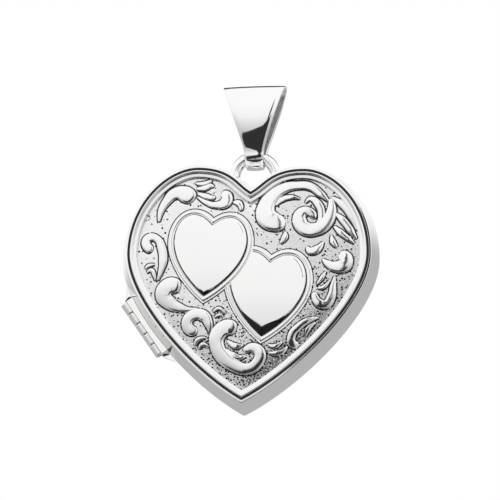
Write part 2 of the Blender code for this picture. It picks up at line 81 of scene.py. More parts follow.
# --- Front plate and the raised hearts ---
PLATE_EDGE = 0.42
PLATE_THICK = 0.30
PLATE_POINTS = 60
LIP_COVER = 0.48
GROUND_EDGE_Y = 1.60
GROUND_DOME = 0.28
DOME_REACH = 9.5
DOME_FADE = 1.6
GROUND_GRID = 0.36
HEART_TILT = math.radians(-4.5)
SMALL_LOBE_TOP = (1.40, 3.45)
SMALL_WIDEST = (3.17, 1.10)
SMALL_HEART_CURVES = (
    ((0.0, 2.85), (0.33, 3.13), (0.75, SMALL_LOBE_TOP[1]), SMALL_LOBE_TOP),
    (SMALL_LOBE_TOP, (2.40, SMALL_LOBE_TOP[1]), (SMALL_WIDEST[0], 2.40), SMALL_WIDEST),
    (SMALL_WIDEST, (SMALL_WIDEST[0], -0.80), (1.40, -2.65), (0.0, -3.62)),
)
LEFT_HEART = {
    "centre": (-2.96, 2.11), "size": 1.0, "border": 0.24, "face": 0.37, "crown": 0.06, "toe": 0.18,
}
RIGHT_HEART = {
    "centre": (1.55, -0.83), "size": 1.03, "border": 0.14, "face": 0.28, "crown": 0.07, "toe": 0.62,
}
SMALL_SIDE_POINTS = 90
FACE_INSET = 0.42
FACE_MIDDLE_RISE = 0.25
FACE_RINGS = 14
FACE_SOFT = 0.012
BEVEL_DROP = 0.03
HEART_REACH = 3.35
TOE_SPREAD = 2.7
TOE_SPREAD_LEAST = 0.2
PLINTH_CLEAR = 0.115
BOUND_Y = (-3.0, -1.0)

# --- Stipple, and painted shade in dots and lines ---
# Bead spacing and size in millimetres, density for each square millimetre. Half of them are kept
# at the "Thin Above" height and fewer above it; that height drops towards the left.
GRAINS = {"Spacing": 0.17, "Density": 36.0, "Size": 0.08, "Thin Above": -1.5, "Seed": 4}
# The second set are near-black beads: painted shade dots in the stipple, kept denser towards the
# bottom so that the ground is painted darker there.
SHADE_DOTS = {"Spacing": 0.15, "Density": 56.0, "Size": 0.085, "Thin Above": -3.0, "Seed": 9}
THINNING = 9.0
THINNING_LEAN = 0.35
KEPT = 0.5
LEAST_KEPT = 0.12
BEAD_SIZES = (0.65, 1.15)
BEAD_TURNS = (6.3, 6.3, 6.3)
BEAD_CREASE = 80
# Bands of painted shade: at each raised heart's foot, in its groove, spreading over its bevel at
# the toe, and in the front rim's groove.
LINE_SUNK = 0.04
FOOT_LINE = (0.17, 0.09)
FOOT_LINE_HEIGHT = 0.03
LINE_CLEAR = 0.18
GROOVE_INSET = 0.33
GROOVE_DROP = 0.055
TOE_SHADE = 0.9
TOE_SHADE_DROP = 0.02
TOE_SHADE_RISE = 9
RIM_LINE = ((-0.19, -1.87), (-0.19, -1.95), (-0.335, -1.95), (-0.335, -1.87))

# --- Scrolls ---
SCROLL_RISE = 0.27
SCROLL_SPACING = 0.07
# Margin and rise of a wider, low sweep under each scroll, finished near-black: painted shade round
# the scrolls' feet.
SHADE_MOAT_MARGIN = 0.095
SHADE_MOAT_RISE = 0.05
SCROLL_THINNING = -0.5
SCROLL_SIDES = 20
SCROLL_SQUARENESS = 0.45
RAY = 20.0
ROUND_END_LEAST = 0.01
SCROLL_CREASE = 60
# Raised scrolls and leaves: points along the middle of each, as (x, z, half width).
SCROLLS = {
    "upper_left_comma": (
        (-4.4, 6.35, 0.63), (-5, 6.95, 0.66), (-5.8, 7, 0.48), (-6.4, 6.4, 0.35),
        (-6.8, 5.65, 0.25), (-6.95, 4.7, 0.08),
    ),
    "upper_left_leaf_1": (
        (-4.3, 7.85, 0.08), (-3.75, 7.8, 0.18), (-3.2, 8, 0.15), (-3, 8.2, 0.05),
    ),
    "upper_left_leaf_2": (
        (-4.2, 7.4, 0.11), (-3.55, 7.45, 0.23), (-3.05, 7.65, 0.18), (-2.8, 7.55, 0.05),
    ),
    "upper_left_leaf_3": (
        (-4.1, 7.05, 0.11), (-3.4, 6.8, 0.23), (-2.9, 6.7, 0.19), (-2.7, 6.85, 0.07),
    ),
    "upper_curl": (
        (-2.3, 6.95, 0.3), (-1.9, 6.85, 0.49), (-1.9, 6.35, 0.46), (-2.6, 6.1, 0.27),
        (-3.35, 6.3, 0.18), (-4.1, 6.75, 0.07),
    ),
    "cleft_leaf": ((-1.35, 6.35, 0.1), (-0.9, 6.3, 0.26), (-0.7, 5.85, 0.16), (-0.8, 5.65, 0.05)),
    "left_curl": (
        (-7.25, 2.5, 0.3), (-7.65, 2.7, 0.35), (-7.85, 3.15, 0.35), (-7.6, 3.5, 0.33),
        (-7, 3.4, 0.27), (-6.6, 2.65, 0.33), (-6.45, 1.65, 0.33), (-6.6, 0.8, 0.19),
        (-6.8, 0.1, 0.07),
    ),
    "left_hook_1": ((-7.85, 1.05, 0.08), (-7.55, 1.3, 0.14), (-7.05, 1.4, 0.07)),
    "left_hook_2": ((-7.7, 0.75, 0.07), (-7.3, 0.95, 0.16), (-7.1, 0.6, 0.14), (-6.95, 0.1, 0.05)),
    "lower_left_comma": (
        (-5, -0.5, 0.6), (-5.85, -0.3, 0.66), (-6.3, -0.95, 0.63), (-5.8, -1.6, 0.52),
        (-4.95, -2, 0.34), (-4.25, -2.1, 0.16), (-3.6, -2, 0.05),
    ),
    "lower_left_curl": (
        (-3.55, -3.7, 0.33), (-4.1, -3.7, 0.42), (-4.4, -3.05, 0.41), (-3.85, -2.5, 0.42),
        (-3.15, -2.6, 0.44), (-2.75, -3.2, 0.33), (-2.6, -3.9, 0.11),
    ),
    "lower_left_hook_1": ((-2.5, -2.3, 0.08), (-2.05, -2, 0.14), (-1.45, -2.4, 0.07)),
    "lower_left_hook_2": ((-2.35, -2.7, 0.07), (-1.95, -2.5, 0.12), (-1.6, -2.7, 0.05)),
    "lower_left_hook_3": ((-3.75, -4.9, 0.1), (-3.55, -4.45, 0.18), (-2.9, -4.25, 0.08)),
    "lower_left_hook_4": ((-3.45, -5.15, 0.08), (-3.15, -4.8, 0.18), (-2.65, -5, 0.08)),
    "bottom_scroll": (
        (-0.65, -3.8, 0.6), (-1.3, -3.5, 0.66), (-2, -4.05, 0.6), (-2.05, -4.85, 0.55),
        (-1.55, -5.75, 0.55), (-0.65, -6.4, 0.49), (0.35, -6.65, 0.44), (1.05, -6.2, 0.44),
        (1.25, -5.45, 0.44), (0.75, -5, 0.38), (0.25, -5.15, 0.3), (0.05, -5.4, 0.25),
    ),
    "bottom_leaf_1": (
        (-1.45, -5.15, 0.14), (-0.8, -5.65, 0.3), (-0.1, -5.75, 0.16), (0.2, -5.55, 0.05),
    ),
    "bottom_leaf_2": ((-1.3, -4.5, 0.11), (-0.6, -4.9, 0.25), (0, -4.8, 0.05)),
    "upper_right_scroll": (
        (2.75, 4.9, 0.68), (2.05, 4.8, 0.74), (1.35, 5.15, 0.82), (1.2, 6, 0.68),
        (1.65, 6.9, 0.57), (2.55, 7.55, 0.44), (3.5, 7.75, 0.34), (4.45, 7.7, 0.34),
        (5.35, 7.1, 0.27), (5.95, 6.55, 0.1),
    ),
    "upper_right_leaf": ((1.9, 6.1, 0.08), (2.4, 6.6, 0.22), (3.05, 6.8, 0.19), (3.8, 6.7, 0.05)),
    "upper_right_spiral": (
        (6.1, 6.8, 0.16), (6.2, 5.8, 0.38), (5.85, 4.85, 0.5), (5.1, 4.3, 0.52),
        (4.25, 4.35, 0.55), (3.8, 4.95, 0.55), (3.95, 5.55, 0.46), (4.45, 5.65, 0.38),
        (4.8, 5.35, 0.31), (4.75, 5.1, 0.27),
    ),
    "upper_right_inner_leaf": (
        (4.7, 4.5, 0.07), (5.25, 4.75, 0.22), (5.45, 5.5, 0.27), (5.15, 6.3, 0.3),
        (4.55, 6.7, 0.19), (4.15, 6.35, 0.05),
    ),
    "right_leaf_1": ((6.15, 6.9, 0.09), (6.95, 6.35, 0.29), (7.75, 5.4, 0.31), (8.25, 4.25, 0.09)),
    "right_leaf_2": ((6.45, 5.65, 0.09), (7.05, 5.1, 0.27), (7.7, 4.3, 0.26), (8.2, 3.6, 0.07)),
    "right_leaf_3": ((6.4, 4.6, 0.09), (6.95, 4.1, 0.24), (7.6, 3.6, 0.19), (8.05, 3.25, 0.06)),
    "right_leaf_4": ((6.25, 3.9, 0.07), (6.4, 3.35, 0.22), (6.75, 2.9, 0.12)),
    "middle_bud": ((2.75, 4.1, 0.09), (2.75, 3.65, 0.26), (2.4, 3.1, 0.09)),
    "middle_leaf": ((4.4, 2.95, 0.09), (4.75, 2.6, 0.31), (5.25, 2.75, 0.31), (5.7, 3.35, 0.09)),
    "right_bulb": (
        (6.85, 2.25, 0.47), (7.35, 2.1, 0.56), (7.3, 1.55, 0.58), (6.7, 1.4, 0.43),
        (6.05, 1.65, 0.26), (5.65, 2, 0.07),
    ),
    "right_hook_1": ((5.95, 1.05, 0.06), (5.7, 0.55, 0.17), (5.3, -0.05, 0.07)),
    "right_hook_2": ((5.35, -0.3, 0.07), (5.85, -0.2, 0.16), (6.3, 0.35, 0.06)),
    "right_curl": (
        (6.65, 0.7, 0.07), (6.55, -0.15, 0.24), (6.45, -0.95, 0.33), (6.05, -1.55, 0.34),
        (5.55, -1.45, 0.34), (5.2, -0.95, 0.27), (5.2, -0.6, 0.21),
    ),
    "lower_right_curl": (
        (4.15, -4.65, 0.27), (3.7, -4.65, 0.33), (3.6, -3.95, 0.31), (4.05, -3.35, 0.29),
        (4.7, -2.85, 0.24), (5.5, -2.55, 0.09),
    ),
    "lower_right_leaf": ((4.6, -4.05, 0.07), (4.8, -3.45, 0.19), (5.35, -2.9, 0.07)),
    "bottom_hook_1": ((1.8, -4.75, 0.07), (2.35, -4.85, 0.19), (2.9, -4.5, 0.07)),
    "bottom_hook_2": ((1.85, -5.35, 0.07), (2.45, -5.4, 0.21), (3, -5.2, 0.17), (3.3, -4.8, 0.06)),
}

# --- Rims, pictures and holders ---
# Sections are closed lists of (offset outwards from the outline, y, corner radius).
FRONT_BEZEL = (
    (FLARE, -PARTING_GAP, 0.02), (0.02, -1.985, 0.05), (-0.17, -2.00, 0.02), (-0.18, -1.90, 0.02),
    (-0.34, -1.90, 0.02), (-0.35, -2.03, 0.04), (-0.43, -2.10, 0.09), (-0.55, -2.05, 0.05),
    (-0.60, -1.90, 0.03), (-0.86, -1.885, 0.03), (-0.88, -1.63, 0.01), (-0.42, -1.63, 0.0),
    (-0.42, -1.27, 0.0), (FLARE * (1 - 1.27 / HALF_DEPTH) - WALL, -1.20, 0.03),
    (FLARE - WALL, -PARTING_GAP, 0.02),
)
BACK_BEZEL = (
    (FLARE, PARTING_GAP, 0.02), (0.03, HALF_DEPTH - 0.10, 0.12), (-0.14, HALF_DEPTH + 0.01, 0.07),
    (-0.37, HALF_DEPTH - 0.03, 0.03), (-0.37, 1.62, 0.0), (-0.62, 1.62, 0.0), (-0.62, 1.50, 0.03),
    (-0.20, 1.30, 0.05), (FLARE - WALL, PARTING_GAP, 0.02),
)
BACK_PLATE = (
    (-0.40, 1.65), (-0.40, 1.92), (-0.43, 1.96), (-0.50, 1.995), (-0.65, 2.025), (-0.90, 2.045),
    (-1.30, 2.058), (-1.70, 2.06),
)
PICTURE_EDGE = 0.62
PICTURE_SOFT = 0.02
CARD_THICK = 0.12
WINDOW_THICK = 0.10
STACK_GAP = 0.03
HOLDER_EDGE = 0.50
HOLDER_LIP = 1.40
HOLDER_HEIGHT = 0.44
HOLDER_THICK = 0.13
STACKS = {"front": (-1, 1.22), "back": (1, 1.44)}

# --- Hinge ---
HINGE_CENTRE = Vector((-8.00, -3.25))
HINGE_LEAN = math.radians(36.0)
HINGE_ALONG = Vector((math.sin(HINGE_LEAN), -math.cos(HINGE_LEAN)))
HINGE_INWARD = Vector((math.cos(HINGE_LEAN), math.sin(HINGE_LEAN)))
KNUCKLE_COUNT = 5
KNUCKLE_LENGTH = 0.95
KNUCKLE_GAP = 0.04
KNUCKLE_RADIUS = 0.36
KNUCKLE_BORE = 0.18
KNUCKLE_SOFT = 0.05
PIN_RADIUS = 0.15
PIN_SINK = 0.03
PIN_END = ((0.0, 0.03), (0.012, 0.09), (0.05, PIN_RADIUS))
BARREL = KNUCKLE_COUNT * KNUCKLE_LENGTH + (KNUCKLE_COUNT - 1) * KNUCKLE_GAP
ROUND_SIDES = 48

# --- Loop and bail ---
LOOP_RADIUS = 1.60
LOOP_WIRE = 0.44
LOOP_TOP_Z = LOOP_CENTRE_Z + LOOP_RADIUS
LOOP_STEPS = 120
SOLDER = 0.12
SOLDER_REACH = math.radians(13)
LOOP_FOOT_TURN = math.radians(-9)
LOOP_FOOT_DEPTH = 0.47
BAIL_THICK = 0.28
BAIL_FOOT = 0.98
BAIL_BELLY = (1.35, 13.60)
BAIL_TOP_Z = CHAIN_Z + BAIL_THICK
BAIL_CROWN = 0.05
BAIL_EDGE = 0.05
BAIL_INNER_EDGE = 0.08
BAIL_ACROSS = 8
BAIL_CREASE = 30
ROUND = 0.5523
BAIL_CURVES = (
    (
        (0.0, LOOP_TOP_Z - BAIL_FOOT),
        (BAIL_FOOT * ROUND, LOOP_TOP_Z - BAIL_FOOT),
        (BAIL_FOOT, LOOP_TOP_Z - BAIL_FOOT * ROUND),
        (BAIL_FOOT, LOOP_TOP_Z),
    ),
    ((BAIL_FOOT, LOOP_TOP_Z), (BAIL_FOOT, 11.20), (BAIL_BELLY[0], 12.10), BAIL_BELLY),
    (BAIL_BELLY, (BAIL_BELLY[0], 15.20), (0.80, BAIL_TOP_Z), (0.0, BAIL_TOP_Z)),
)
BAIL_STEPS = 60
BAIL_WIDTHS = (
    (8.0, 1.20), (9.57, 1.30), (10.2, 1.44), (11.1, 1.67),
    (12.9, 2.76), (14.7, 3.93), (16.15, 4.85), (17.5, 5.60),
)


# --- Outlines ---
def bezier(curve, t):
    a, b, c, d = (Vector(p) for p in curve)
    s = 1 - t
    return s**3 * a + 3 * s**2 * t * b + 3 * s * t**2 * c + t**3 * d


def side_line(curves):
    """A heart's right side from above the cleft to below the tip, run out straight at both ends."""
    line = [bezier(curves[0], 0.0)]
    for curve in curves:
        line += [bezier(curve, k / CURVE_STEPS) for k in range(1, CURVE_STEPS + 1)]
    start = (line[0] - line[1]).normalized() * RUN_OUT
    end = (line[-1] - line[-2]).normalized() * RUN_OUT
    return [line[0] + start, *line, line[-1] + end]


SIDE_LINE = side_line(HEART_CURVES)
SMALL_SIDE_LINE = side_line(SMALL_HEART_CURVES)


def offset_line(line, offset):
    """The line moved outwards by offset, on the left of its direction."""
    moved = []
    for k, point in enumerate(line):
        along = line[min(k + 1, len(line) - 1)] - line[max(k - 1, 0)]
        moved.append(point + Vector((-along.y, along.x)).normalized() * offset)
    return moved


def clipped(line):
    """The stretch of the line on the right of x = 0, with its two ends on x = 0."""
    right = [k for k, p in enumerate(line) if p.x > 0]
    first, last = right[0], right[-1]
    ends = []
    for kept, lost in ((first, first - 1), (last, last + 1)):
        share = line[kept].x / (line[kept].x - line[lost].x)
        ends.append(line[kept].lerp(line[lost], share))
    return [ends[0], *line[first : last + 1], ends[1]]


def evenly(line, count):
    """count + 1 points at even distances along the line."""
    lengths = [0.0]
    for a, b in zip(line, line[1:]):
        lengths.append(lengths[-1] + (b - a).length)
    points = []
    k = 0
    for step in range(count + 1):
        want = lengths[-1] * step / count
        while k < len(line) - 2 and lengths[k + 1] < want:
            k += 1
        share = (want - lengths[k]) / (lengths[k + 1] - lengths[k])
        points.append(line[k].lerp(line[k + 1], share))
    return points


def heart(offset, count=SIDE_POINTS, line=SIDE_LINE):
    """A heart's outline moved outwards by offset: (x, z) points, clockwise from the cleft."""
    side = evenly(clipped(offset_line(line, offset)), count)
    side[0].x = side[-1].x = 0.0
    return side + [Vector((-p.x, p.y)) for p in side[-2:0:-1]]


def small_heart(spec, inset):
    """The outline of one raised heart, inset by a distance."""
    turn = Matrix.Rotation(HEART_TILT, 2)
    outline = heart(-inset / spec["size"], SMALL_SIDE_POINTS, SMALL_SIDE_LINE)
    return [turn @ (p * spec["size"]) + Vector(spec["centre"]) for p in outline]


def inside(point, loop):
    """Whether the point lies within the loop."""
    found = False
    for a, b in zip(loop, loop[1:] + loop[:1]):
        if (a.y > point.y) != (b.y > point.y):
            if point.x < a.x + (point.y - a.y) * (b.x - a.x) / (b.y - a.y):
                found = not found
    return found


def depth_in(point, loop):
    """How far inside the loop the point is; negative outside it."""
    near = math.inf
    for a, b in zip(loop, loop[1:] + loop[:1]):
        along = b - a
        share = min(1.0, max(0.0, (point - a).dot(along) / along.length_squared))
        near = min(near, (point - a - along * share).length)
    return near if inside(point, loop) else -near


PLATE_RIM = heart(-PLATE_EDGE, PLATE_POINTS)


def ground_y(point):
    """Where the front's domed ground stands; it is level under the rim's lip."""
    reach = min(1.0, point.length_squared / DOME_REACH**2)
    fade = min(1.0, max(0.0, (depth_in(point, PLATE_RIM) - LIP_COVER) / DOME_FADE))
    return -(GROUND_EDGE_Y + GROUND_DOME * (1 - reach) * fade * (2 - fade))


def rounded(section):
    """The closed section with each corner replaced by an arc of its own radius."""
    points = []
    for k, (offset, y, radius) in enumerate(section):
        corner = Vector((offset, y))
        before = Vector(section[k - 1][:2])
        after = Vector(section[(k + 1) % len(section)][:2])
        if radius == 0:
            points.append(corner)
            continue
        back, ahead = (before - corner), (after - corner)
        reach = min(radius, 0.49 * back.length, 0.49 * ahead.length)
        start = corner + back.normalized() * reach
        end = corner + ahead.normalized() * reach
        points.append(start.lerp(start + back, HOLD))
        for step in range(ARC_STEPS + 1):
            t = step / ARC_STEPS
            points.append(start.lerp(corner, t).lerp(corner.lerp(end, t), t))
        points.append(end.lerp(end + ahead, HOLD))
    return points


# --- Meshes ---
def in_scene(name, data):
    obj = bpy.data.objects.new(name, data)
    bpy.context.scene.collection.objects.link(obj)
    return obj


def lofted(rings, closed_across=False):
    """Points and faces of a solid through rings of equal counts, capped unless it closes."""
    count = len(rings[0])
    points = [p for ring in rings for p in ring]
    faces = []
    spans = len(rings) if closed_across else len(rings) - 1
    for a in range(spans):
        b = (a + 1) % len(rings)
        for k in range(count):
            n = (k + 1) % count
            faces.append((a * count + k, a * count + n, b * count + n, b * count + k))
    if not closed_across:
        faces.append(tuple(range(count)))
        faces.append(tuple((len(rings) - 1) * count + k for k in range(count)))
    return points, faces


def drawn(name, points, faces):
    """An object still in locket millimetres, its faces outwards."""
    mesh = bpy.data.meshes.new(name)
    mesh.from_pydata(points, [], faces)
    work = bmesh.new()
    work.from_mesh(mesh)
    bmesh.ops.recalc_face_normals(work, faces=work.faces)
    work.to_mesh(mesh)
    work.free()
    return in_scene(name, mesh)


def baked(obj, name):
    """The object with its modifiers made real, as a new plain mesh object."""
    bpy.context.view_layer.update()
    evaluated = obj.evaluated_get(bpy.context.evaluated_depsgraph_get())
    return in_scene(name, bpy.data.meshes.new_from_object(evaluated))


def placed(obj, body, material, replaces=(), place=HEART_PLACE, crease=CREASE):
    """Puts a drawn object where it belongs, gives it its finish and lets it ride on its body."""
    obj.data.transform(place)
    obj.data.materials.clear()
    obj.data.materials.append(material)
    obj.data.shade_smooth()
    obj.data.set_sharp_from_angle(angle=math.radians(crease))
    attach(obj, body)
    if replaces:
        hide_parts(*replaces)
    return obj


def heart_rings(section):
    return [[(p.x, y, p.y) for p in heart(offset)] for offset, y in section]


# --- Front ---
def front_plate():
    """The domed ground, level under the rim, as a closed plate."""
    under_lip = heart(-PLATE_EDGE - LIP_COVER, PLATE_POINTS)
    flat, edges = [], []
    for loop in (PLATE_RIM, under_lip):
        first = len(flat)
        flat += loop
        edges += [(first + k, first + (k + 1) % len(loop)) for k in range(len(loop))]
    reach = int(WIDEST[0] / GROUND_GRID) + 1
    for column in range(-reach, reach + 1):
        for row in range(-reach, reach + 1):
            point = Vector((column, row)) * GROUND_GRID
            if depth_in(point, under_lip) > GROUND_GRID / 3:
                flat.append(point)
    rim = [tuple(range(len(PLATE_RIM)))]
    flat, _, triangles, *_ = delaunay_2d_cdt(flat, edges, rim, 1, 1e-5)
    count = len(flat)
    heights = [ground_y(p) for p in flat]
    points = [(p.x, y, p.y) for p, y in zip(flat, heights)]
    points += [(p.x, y + PLATE_THICK, p.y) for p, y in zip(flat, heights)]
    faces = [tuple(t) for t in triangles]
    faces += [tuple(k + count for k in reversed(t)) for t in triangles]
    sides = set()
    for t in triangles:
        sides.update(zip(t, (*t[1:], t[0])))
    faces += [(b, a, a + count, b + count) for a, b in sides if (b, a) not in sides]
    return drawn("front_ground", points, faces)


def heart_middle(spec):
    return Vector(spec["centre"]) + Vector((0.0, FACE_MIDDLE_RISE))


def face_outline(spec, share=1.0):
    """The foot of the bevel at share 0 and the face's edge at share 1; they part at the toe."""
    middle = heart_middle(spec)
    top = small_heart(spec, FACE_INSET)
    toe = min(top, key=lambda p: p.y)
    spread = TOE_SPREAD * spec["toe"] + TOE_SPREAD_LEAST
    outline = []
    for p in top:
        near = math.exp(-(((p - toe).length / spread) ** 2))
        outline.append(p.lerp(middle, share * near * spec["toe"] / (toe - middle).length))
    return outline


def crowned(spec, point):
    """Height of a raised heart's face above the ground."""
    near = (point - heart_middle(spec)).length / (HEART_REACH * spec["size"])
    return spec["face"] + spec["crown"] * (1 - near**2)


def raised_heart(name, spec):
    """A low plinth, a border step, a bevel that widens at the toe and a crowned face."""
    border = spec["border"]
    steps = (
        (-0.10, -0.06), (-0.10, 0.03), (-0.08, 0.05), (0.0, 0.05), (0.015, 0.07),
        (0.03, border - 0.03), (0.05, border - 0.008), (0.08, border), (0.24, border - 0.005),
        (0.29, border - 0.03), (0.32, border - 0.06), (FACE_INSET, border - 0.06),
    )
    rings = []
    for inset, height in steps:
        outline = small_heart(spec, inset)
        rings.append([(p.x, ground_y(p) - height, p.y) for p in outline])
    middle = heart_middle(spec)
    lifted = face_outline(spec)
    rings.append([(p.x, ground_y(p) - crowned(spec, p) + BEVEL_DROP, p.y) for p in lifted])
    for ring in range(FACE_RINGS):
        share = FACE_SOFT + (1 - FACE_SOFT) * (ring / FACE_RINGS)
        outline = [p.lerp(middle, share) for p in lifted]
        rings.append([(p.x, ground_y(p) - crowned(spec, p), p.y) for p in outline])
    points, faces = lofted(rings)
    return drawn(name, points, faces)


# --- Node helpers ---
def node(tree, kind, inputs=None, **settings):
    """A node of the tree, its settings made and its inputs wired to sockets or given values."""
    made = tree.nodes.new(kind)
    for key, value in settings.items():
        setattr(made, key, value)
    for key, value in (inputs or {}).items():
        if isinstance(value, bpy.types.NodeSocket):
            tree.links.new(value, made.inputs[key])
        else:
            made.inputs[key].default_value = value
    return made


def math_node(tree, operation, *values):
    return node(tree, "ShaderNodeMath", dict(enumerate(values)), operation=operation).outputs[0]


def coordinates(tree):
    """The x, y and z outputs of a geometry tree's own positions."""
    at = tree.nodes.new("GeometryNodeInputPosition").outputs[0]
    return node(tree, "ShaderNodeSeparateXYZ", {0: at}).outputs


def new_tree(name, sockets):
    """A geometry tree with named inputs: (name, socket type, value)."""
    tree = bpy.data.node_groups.new(name, "GeometryNodeTree")
    tree.interface.new_socket("Geometry", in_out="INPUT", socket_type="NodeSocketGeometry")
    for title, kind, value in sockets:
        socket = tree.interface.new_socket(title, in_out="INPUT", socket_type=kind)
        if value is not None:
            socket.default_value = value
    tree.interface.new_socket("Geometry", in_out="OUTPUT", socket_type="NodeSocketGeometry")
    return tree, tree.nodes.new("NodeGroupInput").outputs


def end_tree(tree, geometry, material):
    real = node(tree, "GeometryNodeRealizeInstances", {"Geometry": geometry})
    finish = node(
        tree, "GeometryNodeSetMaterial", {"Geometry": real.outputs[0], "Material": material}
    )
    output = tree.nodes.new("NodeGroupOutput")
    tree.links.new(finish.outputs[0], output.inputs[0])


def grown(obj, tree, values, name):
    """The result of running the tree on the object, as a plain mesh; the object is removed."""
    modifier = obj.modifiers.new(tree.name, "NODES")
    modifier.node_group = tree
    for item in tree.interface.items_tree:
        if item.in_out == "INPUT" and item.name in values:
            modifier[item.identifier] = values[item.name]
    result = baked(obj, name)
    bpy.data.objects.remove(obj)
    return result


# --- Scrolls and stipple ---
def scroll_curves():
    """Every scroll and leaf as one smooth spline on the flat, its radius the half width."""
    data = bpy.data.curves.new("scroll_lines", "CURVE")
    data.dimensions = "3D"
    data.resolution_u = 16
    for line in SCROLLS.values():
        spline = data.splines.new("BEZIER")
        spline.bezier_points.add(len(line) - 1)
        for point, (x, z, half_width) in zip(spline.bezier_points, line):
            point.co = (x, z, 0.0)
            point.radius = half_width
            point.handle_left_type = point.handle_right_type = "AUTO"
    return in_scene("scroll_lines", data)


def rounded_width(tree):
    """The radius of a line, drawn in to a half circle at both ends."""
    radius = tree.nodes.new("GeometryNodeInputRadius").outputs[0]
    along = tree.nodes.new("GeometryNodeSplineParameter").outputs
    whole = tree.nodes.new("GeometryNodeSplineLength").outputs[0]
    left = math_node(tree, "SUBTRACT", whole, along["Length"])
    near = math_node(tree, "MINIMUM", along["Length"], left)
    short = math_node(tree, "DIVIDE", near, radius)
    short = math_node(tree, "SUBTRACT", 1.0, short)
    short = math_node(tree, "MAXIMUM", short, 0.0)
    square = math_node(tree, "POWER", short, 2.0)
    circle = math_node(tree, "SUBTRACT", 1.0 + ROUND_END_LEAST, square)
    return math_node(tree, "MULTIPLY", radius, math_node(tree, "SQRT", circle))


def scroll_tree():
    """Sweeps a crowned section along each line and stands it on the plate."""
    tree, given = new_tree("raise_scrolls", (
        ("Plate", "NodeSocketObject", None),
        ("Rise", "NodeSocketFloat", SCROLL_RISE),
        ("Margin", "NodeSocketFloat", 0.0),
        ("Spacing", "NodeSocketFloat", SCROLL_SPACING),
        ("Sides", "NodeSocketInt", SCROLL_SIDES),
        ("Squareness", "NodeSocketFloat", SCROLL_SQUARENESS),
        ("Finish", "NodeSocketMaterial", None),
    ))
    spaced = node(tree, "GeometryNodeResampleCurve", {
        "Curve": given["Geometry"], "Length": given["Spacing"],
    }, mode="LENGTH")
    upright = node(tree, "GeometryNodeSetCurveNormal", {"Curve": spaced.outputs[0]}, mode="Z_UP")
    wide = math_node(tree, "ADD", rounded_width(tree), given["Margin"])
    thin = math_node(tree, "POWER", wide, SCROLL_THINNING)
    lift = math_node(tree, "MULTIPLY", thin, given["Rise"])
    noted = node(tree, "GeometryNodeStoreNamedAttribute", {
        "Geometry": upright.outputs[0], "Name": "lift", "Value": lift,
    }, domain="POINT")
    circle = node(tree, "GeometryNodeCurvePrimitiveCircle", {
        "Resolution": given["Sides"], "Radius": 1.0,
    })
    at = coordinates(tree)
    squared = []
    for axis in (0, 1):
        size = math_node(tree, "ABSOLUTE", at[axis])
        power = math_node(tree, "POWER", size, given["Squareness"])
        sign = math_node(tree, "SIGN", at[axis])
        squared.append(math_node(tree, "MULTIPLY", power, sign))
    section_at = node(tree, "ShaderNodeCombineXYZ", {0: squared[0], 1: squared[1]})
    section = node(tree, "GeometryNodeSetPosition", {
        "Geometry": circle.outputs[0], "Position": section_at.outputs[0],
    })
    swept = node(tree, "GeometryNodeCurveToMesh", {
        "Curve": noted.outputs[0], "Profile Curve": section.outputs[0], "Scale": wide,
        "Fill Caps": True,
    })
    lifted = node(tree, "GeometryNodeInputNamedAttribute", {"Name": "lift"}, data_type="FLOAT")
    here = coordinates(tree)
    above = node(tree, "ShaderNodeCombineXYZ", {0: here[0], 1: -RAY / 2, 2: here[1]})
    plate = node(tree, "GeometryNodeObjectInfo", {"Object": given["Plate"]})
    found = node(tree, "GeometryNodeRaycast", {
        "Target Geometry": plate.outputs["Geometry"], "Source Position": above.outputs[0],
        "Ray Direction": (0.0, 1.0, 0.0), "Ray Length": RAY,
    })
    ground = node(tree, "ShaderNodeSeparateXYZ", {0: found.outputs["Hit Position"]})
    height = math_node(tree, "MULTIPLY", here[2], lifted.outputs[0])
    front = math_node(tree, "SUBTRACT", ground.outputs[1], height)
    stood = node(tree, "ShaderNodeCombineXYZ", {0: here[0], 1: front, 2: here[1]})
    moved = node(tree, "GeometryNodeSetPosition", {
        "Geometry": swept.outputs[0], "Position": stood.outputs[0],
    })
    end_tree(tree, moved.outputs[0], given["Finish"])
    return tree


